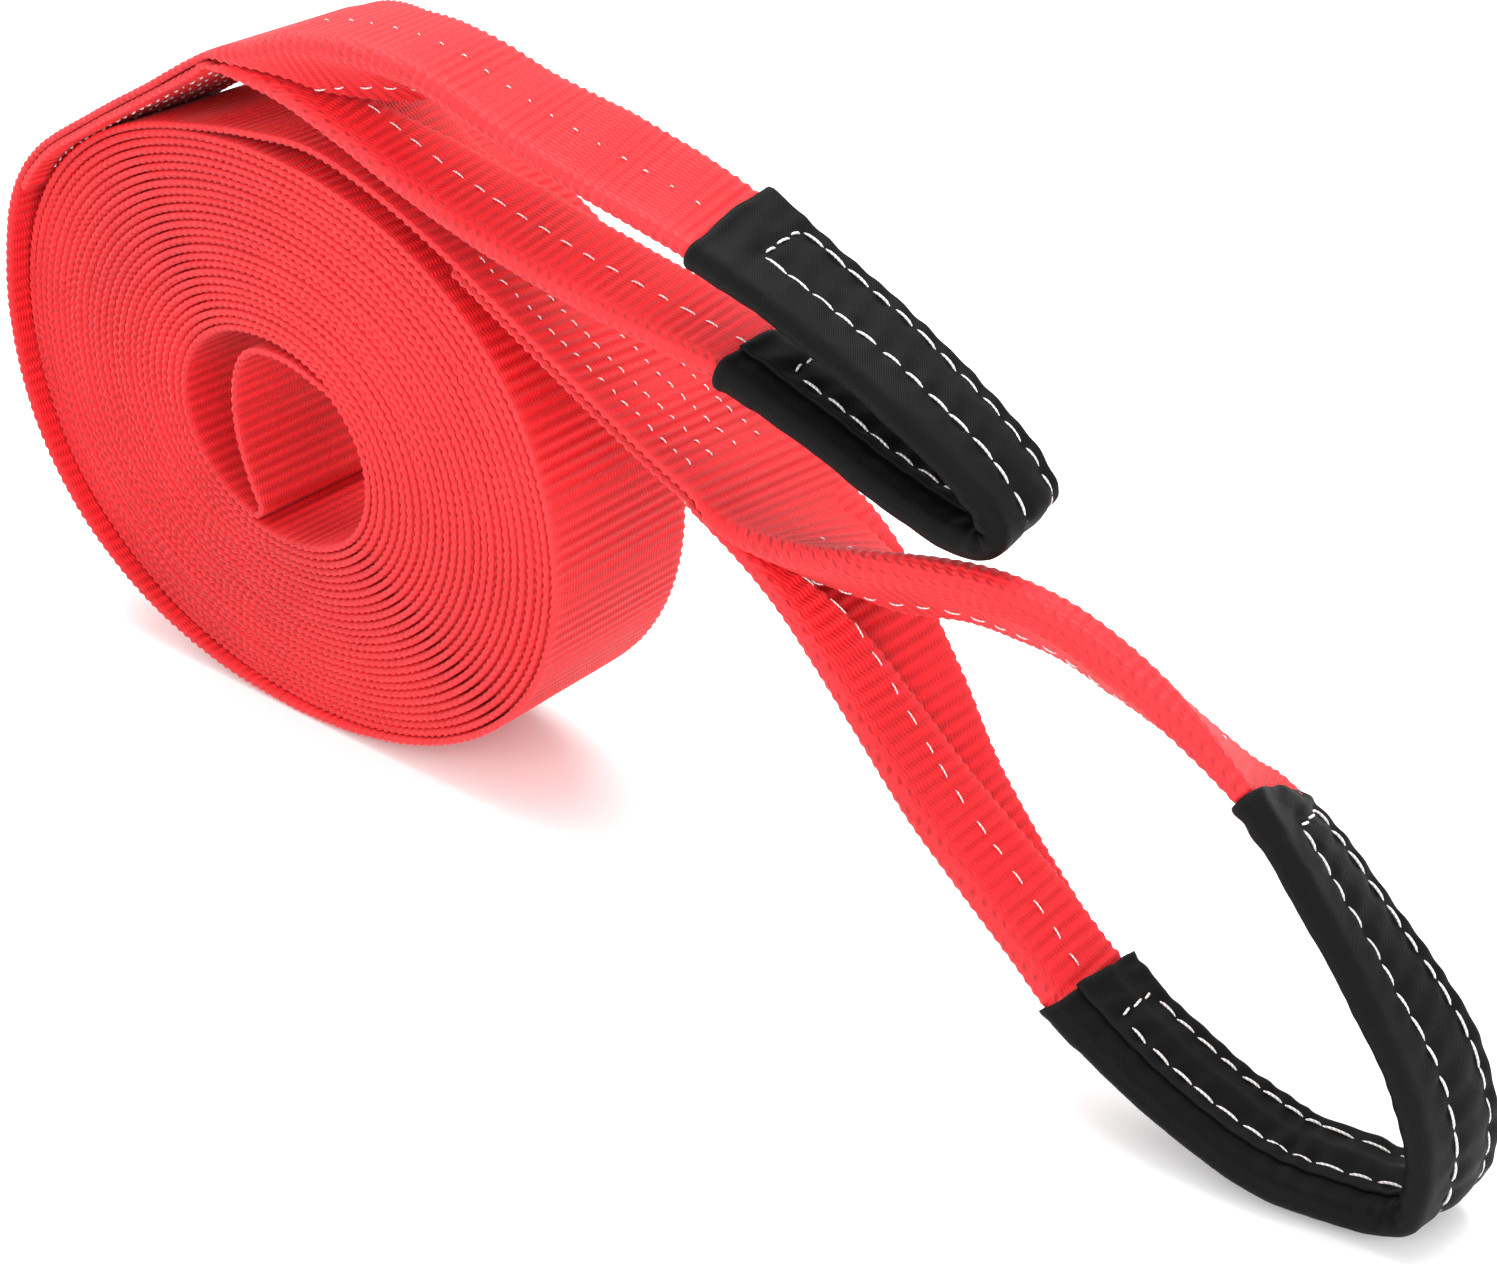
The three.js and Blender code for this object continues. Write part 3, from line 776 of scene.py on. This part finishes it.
def sleevePlaces(lay, first, last, seed, slants):
    # The middle of the cloth on every ring, its outward direction and its place along and round
    rows = np.linspace(first, last, int((last - first) * 0.85 / sleeve["ringStep"]))
    outline = sleeveOutline()
    side, up, outSide, outUp, extra = outline.T
    lengths = np.concatenate([[0], np.cumsum(np.hypot(np.diff(side), np.diff(up)))])
    index = np.arange(len(lay.line))

    def carried(values):
        return np.stack([np.interp(rows, index, values[:, k]) for k in range(3)], axis=1)

    line, across, lift = carried(lay.line), unit(carried(lay.across)), unit(carried(lay.lift))
    along = np.interp(rows, index, lay.along)
    curl = np.linalg.norm(np.gradient(unit(carried(lay.tangent)), along, axis=0), axis=1)
    curl = smoothed(np.clip(curl / 0.08, 0, 1), 6)
    fromMouth = np.minimum(along - along[0], along[-1] - along)
    u, m = along[:, None], fromMouth[:, None]
    s, inner = side[None, :], (up < 0)[None, :] * 1.0
    puff = np.zeros((len(rows), len(side)))
    for row in sleeve["rows"]:
        closeness = np.exp(-((s - row) / 1.7) ** 2)
        wide = np.exp(-((s - row) / 4.2) ** 2)
        puff += -0.5 * closeness * smoothStep(9.0, 13.0, m)
        puff += sleeve["pucker"] * wide * np.sin(2 * math.pi * u / 7.4 + 0.25 * s + seed)
    middle = np.exp(-((s - sum(sleeve["rows"]) / 2) / 4.5) ** 2)
    puff += middle * (0.55 + 0.3 * wave(u, 14.0, seed))
    puff += 0.35 * smoothStep(13.0, 9.5, m) - 0.45 * np.exp(-((m - 12.2) / 1.3) ** 2) * middle
    puff += 0.5 * smoothStep(3.5, 0.0, m)
    wrinkle = np.sin(2 * math.pi * u / 6.3 + 0.5 * np.sin(s / 3.0 + seed) + 0.12 * s) + 0.5 * wave(u + 2 * s, 3.7, seed)
    puff += curl[:, None] * inner * (0.55 * wrinkle + 0.3)
    puff += 0.22 * wave(u + 0.8 * s, 9.0, seed + 1) + 0.12 * wave(u - 1.7 * s, 4.1, seed + 2)
    middleUp = -tight / math.pi
    out = outSide[None, :, None] * across[:, None, :] + outUp[None, :, None] * lift[:, None, :]
    base = line[:, None, :] + side[None, :, None] * across[:, None, :]
    base = base + (up[None, :, None] + middleUp) * lift[:, None, :]
    base = base + out * (puff + extra[None, :])[:, :, None]
    tangent = unit(np.gradient(line, axis=0))
    ragged = 0.7 * wave(lengths[None, :] + 0 * u, 6.0, seed) * smoothStep(6.0, 0.0, m) * np.sign(u - along.mean())
    share = (s / sleeve["farEnd"]) * smoothStep(30.0, 0.0, m)
    slant = np.where(u < along.mean(), slants[0], -slants[1]) * share
    base = base + tangent[:, None, :] * (ragged + slant)[:, :, None]
    return base, out, along, lengths, fromMouth


def makeSleeve(name, node, lay, first, last, seed, slants, material):
    base, out, along, lengths, fromMouth = sleevePlaces(lay, first, last, seed, slants)
    half = sleeve["cloth"] / 2 * np.ones(base.shape[:2])
    half[0] = half[-1] = 0.2
    outer = base + out * half[:, :, None]
    inner = base - out * half[:, :, None]
    points = np.concatenate([outer, inner[:, ::-1]], axis=1)
    around = np.concatenate([lengths, lengths[::-1] + 100])
    uv = np.stack(np.broadcast_arrays(along[:, None], around[None, :]), axis=-1)
    rawEdge = np.minimum(lengths, lengths[-1] - lengths)
    edge = np.clip(1.5 - np.minimum(rawEdge[None, :], fromMouth[:, None]), 0, 1)
    edge = np.concatenate([edge, edge[:, ::-1]], axis=1)
    rows, count = points.shape[:2]
    piece = makePiece(name, (
        points.reshape(-1, 3), gridFaces(rows, count), endCaps(rows, count), uv.reshape(-1, 2),
        {"selvedge": edge.ravel()},
    ), material)
    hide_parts(node)
    return piece, (float(lengths[-1]), float(along[-1] - along[0]))


# Thread

thread = {
    "radius": 0.4,
    "sides": 7,
    "rings": 6,
}


def threadShell(starts, ends, outs, radius, arch, seed):
    # One short arched strand for each stitch, as capsules that dip into the cloth at both ends
    rings, sides = thread["rings"], thread["sides"]
    share = np.linspace(0, 1, rings)
    run = ends - starts
    length = np.linalg.norm(run, axis=1, keepdims=True)
    direction = run / length
    sideways = unit(np.cross(direction, outs))
    upward = np.cross(sideways, direction)
    lift = (arch * np.sin(math.pi * share) ** 0.6 - 0.45 * arch)[None, :, None]
    centre = starts[:, None] + run[:, None] * share[None, :, None] + upward[:, None] * lift
    thick = radius * np.clip(1.25 * np.sin(math.pi * np.clip(share, 0.06, 0.94)) ** 0.45, 0.35, 1.0)
    turn = np.arange(sides) * 2 * math.pi / sides
    ring = np.cos(turn)[None, None, :, None] * sideways[:, None, None] + np.sin(turn)[None, None, :, None] * upward[:, None, None]
    points = centre[:, :, None] + ring * thick[None, :, None, None]
    count = len(starts)
    sidesOne = gridFaces(rings, sides)
    offset = np.arange(count)[:, None, None] * rings * sides
    faces = (sidesOne[None] + offset).reshape(-1, 4)
    uv = np.zeros((count, rings, sides, 2))
    uv[..., 0] = length[:, None] * share[None, :, None]
    uv[..., 1] = (np.arange(sides) * 0.4)[None, None, :]
    return points.reshape(-1, 3), faces, uv.reshape(-1, 2)


def stitchesAlong(place, first, last, pitch, dash, seed, wobble=0.2):
    # Starts, ends and outward directions of the stitches of one row. place(u) gives the point and outward direction.
    random = np.random.default_rng(seed)
    count = max(int((last - first) / pitch), 1)
    starts = first + (np.arange(count) + 0.15 * random.random(count)) * pitch
    ends = starts + dash * (0.88 + 0.24 * random.random(count))
    (p0, o0), (p1, o1) = place(starts), place(ends)
    sideways = unit(np.cross(p1 - p0, o0))
    p0 = p0 + sideways * (wobble * (random.random(count) - 0.5))[:, None]
    p1 = p1 + sideways * (wobble * (random.random(count) - 0.5))[:, None]
    return p0, p1, unit(o0 + o1)


def webbingRow(lay, across, height):
    # A place on the webbing's outer face at a given length along it
    index = np.arange(len(lay.along))

    def place(u):
        rows = np.clip(np.interp(u, lay.along, index), 1, len(index) - 2).round().astype(int)
        where = across(rows) if callable(across) else np.full(len(rows), float(across))
        low, high = lay.at(rows, where, np.full(len(rows), 0.0)), lay.at(rows, where, np.full(len(rows), height))
        return high, unit(high - low)

    return place


def sleeveRow(cloth, s, face):
    # A place on a sleeve's face at a given length along it, s from its folded side
    base, out, along, lengths, _ = cloth
    outline = sleeveOutline()
    onFace = (outline[:, 1] > 0) if face > 0 else (outline[:, 1] < 0) & (np.arange(len(outline)) > 40)
    near = np.where(onFace, np.abs(outline[:, 0] - s) + 10 * (np.abs(outline[:, 2]) > 0.2), 1e6)
    column = int(np.argmin(near))

    def place(u):
        index = np.arange(len(along))
        rows = np.interp(u, along, index)
        point = np.stack([np.interp(rows, index, base[:, column, k]) for k in range(3)], axis=1)
        outward = np.stack([np.interp(rows, index, out[:, column, k]) for k in range(3)], axis=1)
        return point + outward * (sleeve["cloth"] / 2 + 0.12), outward

    return place


def crossStitches(cloth, fromMouth, atStart, face, seed):
    # The short row across a sleeve's mouth
    along = cloth[2]
    u = along[0] + fromMouth if atStart else along[-1] - fromMouth
    low, high = sleeve["rows"]
    edges = np.linspace(low, high, 4)
    p0, p1, o = [], [], []
    for a, b in zip(edges[:-1], edges[1:]):
        start, outward = sleeveRow(cloth, a + 0.5, face)(np.array([u]))
        end, _ = sleeveRow(cloth, b - 0.5, face)(np.array([u + 0.6]))
        p0.append(start[0])
        p1.append(end[0])
        o.append(outward[0])
    return np.array(p0), np.array(p1), np.array(o)


def makeThread(name, groupsOfStitches, material, slotName):
    points, faces, uv, offset = [], [], [], 0
    for starts, ends, outs, radius, arch, seed in groupsOfStitches:
        p, f, t = threadShell(starts, ends, outs, radius, arch, seed)
        points.append(p)
        faces.append(f + offset)
        uv.append(t)
        offset += len(p)
    shell = (np.vstack(points), np.vstack(faces), np.zeros((0, 4), dtype=int), np.vstack(uv), {})
    piece = makePiece(name, shell, material)
    return piece


def sewnRows(lay, seed):
    # The rows that join both layers of a sewn stretch, on its outer and its under side
    rows = []
    first, last = (lay.along[lay.indexAt(s)] for s in lay.names["sewn"])
    for k, across in enumerate((7.5, 15.5, 24.5, 33.5, 42.5)):
        place = webbingRow(lay, across, webbing["thickness"] / 2 + 0.05)
        rows.append((*stitchesAlong(place, first + 4, last - 3, 4.4, 2.0, seed + k, 1.0), 0.2, 0.28, seed))
    underFirst, underLast = lay.along[lay.indexAt(lay.names["under"])] + 3, lay.along[-1] - 4
    for k, across in enumerate((7.5, 15.5, 24.5, 33.5, 42.5)):
        place = webbingRow(lay, across, webbing["thickness"] / 2 + 0.05)
        rows.append((*stitchesAlong(place, underFirst, underLast, 4.4, 2.0, seed + 9 + k, 1.0), 0.2, 0.28, seed))
    return rows


def legRows(lay, ranges, seed):
    # The line that holds each leg folded, on both of its faces
    rows = []
    for k, (first, last) in enumerate(ranges):
        for outside in (True, False):
            def across(rows, outside=outside):
                folded = lay.flap[rows]
                return folded + lay.bend[rows] + 10.5 if outside else np.maximum(folded - 10.5, 0.6)

            dash, radius = (1.3, 0.17) if outside else (3.6, 0.2)

            place = webbingRow(lay, across, webbing["thickness"] / 2 + 0.08)
            rows.append((*stitchesAlong(place, first, last, 7.6, dash, seed + 3 * k + outside, 0.4), radius, 0.3, seed))
    return rows


def sleeveRows(cloth, seed):
    rows = []
    along = cloth[2]
    for k, s in enumerate(sleeve["rows"]):
        for face in (1, -1):
            place = sleeveRow(cloth, s, face)
            stitches = stitchesAlong(place, along[0] + 12.5, along[-1] - 12.5, 6.9, 5.6, seed + k + face, 0.35)
            rows.append((*stitches, 0.32, 0.5, seed))
    for atStart in (True, False):
        for face in (1, -1):
            rows.append((*crossStitches(cloth, 12.3, atStart, face, seed), 0.32, 0.45, seed))
    return rows


# The scene

def addFloor():
    material = bpy.data.materials.new("paleFloor")
    material.use_nodes = True
    tree = material.node_tree
    shader = tree.nodes["Principled BSDF"]
    place = addNode(tree, "ShaderNodeTexCoord")
    noise = addNode(tree, "ShaderNodeTexNoise")
    noise.inputs["Scale"].default_value = 3.0
    tree.links.new(place.outputs["Object"], noise.inputs["Vector"])
    colour = rampNode(tree, noise.outputs["Fac"], [(0.3, (0.90, 0.90, 0.90)), (0.7, (0.92, 0.92, 0.92))])
    tree.links.new(colour, shader.inputs["Base Color"])
    shader.inputs["Roughness"].default_value = 0.5
    shader.inputs["Specular IOR Level"].default_value = 0.2
    mesh = bpy.data.meshes.new("floor")
    reach = 6.0
    mesh.from_pydata([(-reach, -reach, 0), (reach, -reach, 0), (reach, reach, 0), (-reach, reach, 0)], [], [(0, 1, 2, 3)])
    mesh.materials.append(material)
    floor = bpy.data.objects.new("floor", mesh)
    floor.location.z = -0.0004
    bpy.context.collection.objects.link(floor)


lights = [
    # name, place, size, watts
    ("overhead", (-0.15, 0.35, 1.5), 1.6, 29.0),
    ("front", (0.5, -1.6, 0.95), 1.3, 16.0),
    ("left", (-1.5, -0.6, 0.8), 1.1, 8.0),
    ("right", (1.6, -0.5, 0.9), 1.2, 12.0),
]


def addLights():
    for name, place, size, watts in lights:
        data = bpy.data.lights.new(name, "AREA")
        data.shape = "DISK"
        data.size = size
        data.energy = watts
        lamp = bpy.data.objects.new(name, data)
        lamp.location = place
        lamp.rotation_mode = "QUATERNION"
        lamp.rotation_quaternion = (Vector((0.1, 0.0, 0.09)) - Vector(place)).to_track_quat("-Z", "Y")
        bpy.context.collection.objects.link(lamp)
    world = bpy.data.worlds.new("studio")
    world.use_nodes = True
    world.node_tree.nodes["Background"].inputs[0].default_value = (1.0, 1.0, 1.0, 1.0)
    world.node_tree.nodes["Background"].inputs[1].default_value = 0.85
    bpy.context.scene.world = world
    bpy.context.scene.view_settings.view_transform = "Standard"


print("stage 1: camera, floor and lights")
addCamera()
addFloor()
addLights()

print("stage 2: materials")
groups = {"yarn": makeYarnGroup(), "pebble": makePebbleGroup(), "fade": makeFadeGroup()}
red = makeWebbingMaterial(groups)
black = makeSleeveMaterial(groups)
white = makeThreadMaterial(groups)

print("stage 3: webbing")
upperLay, lowerLay = makeLays()
upperInner, upperOuter = turnIndex(upperLay, -0.3), turnIndex(upperLay, 23.2)
lowerInner = turnIndex(lowerLay, 0.75)
upperEnd, lowerEnd = upperLay.indexAt(0.2), turnIndex(lowerLay, 25.06)
webbingPiece("webbingRoll", "webbing_roll", red, [
    (upperLay, upperInner, upperOuter, 0), (lowerLay, lowerInner, lowerEnd, 0),
])
webbingPiece("webbingMiddle", None, red, [(upperLay, 0, upperInner, 20), (lowerLay, 0, lowerInner, 20)])
webbingPiece("webbingOuterTurn", None, red, [(upperLay, upperOuter, upperEnd, 22)])
webbingPiece("webbingUpperEnd", "webbing_end_upper", red, [(upperLay, upperEnd, len(upperLay.line) - 1, 26)])
webbingPiece("webbingLowerEnd", "webbing_end_lower", red, [(lowerLay, lowerEnd, len(lowerLay.line) - 1, 26)])

print("stage 4: sleeves")
sleeveSpans = {}
for name, node, lay, first, last, seed, slants in (
    ("sleeveUpper", "sleeve_upper", upperLay, 7, 17.2, 0.7, (0.0, 0.0)),
    ("sleeveLower", "sleeve_lower", lowerLay, 8.0, 21.0, 2.9, (8.0, 3.0)),
):
    start = lay.indexAt(lay.names["legs"] + first)
    end = lay.indexAt(lay.names["legs"] + last)
    piece, size = makeSleeve(name, node, lay, start, end, seed, slants, black)
    sleeveSpans[name] = (start, end, seed, slants, piece, size)
    print(name, "cloth", size)

print("stage 5: thread")
for name, lay, seed in (("Upper", upperLay, 11), ("Lower", lowerLay, 41)):
    start, end, clothSeed, slants, piece, size = sleeveSpans["sleeve" + name]
    legs, under = lay.names["legs"], lay.names["under"]
    ranges = (
        (lay.along[lay.indexAt(legs + 1)], lay.along[start] - 2),
        (lay.along[end] + 2, lay.along[lay.indexAt(under - 1.5)]),
    )
    makeThread("threadWebbing" + name, sewnRows(lay, seed) + legRows(lay, ranges, seed + 20), white, None)
    cloth = sleevePlaces(lay, start, end, clothSeed, slants)
    sleeveThread = makeThread("threadSleeve" + name, sleeveRows(cloth, seed + 30), white, None)
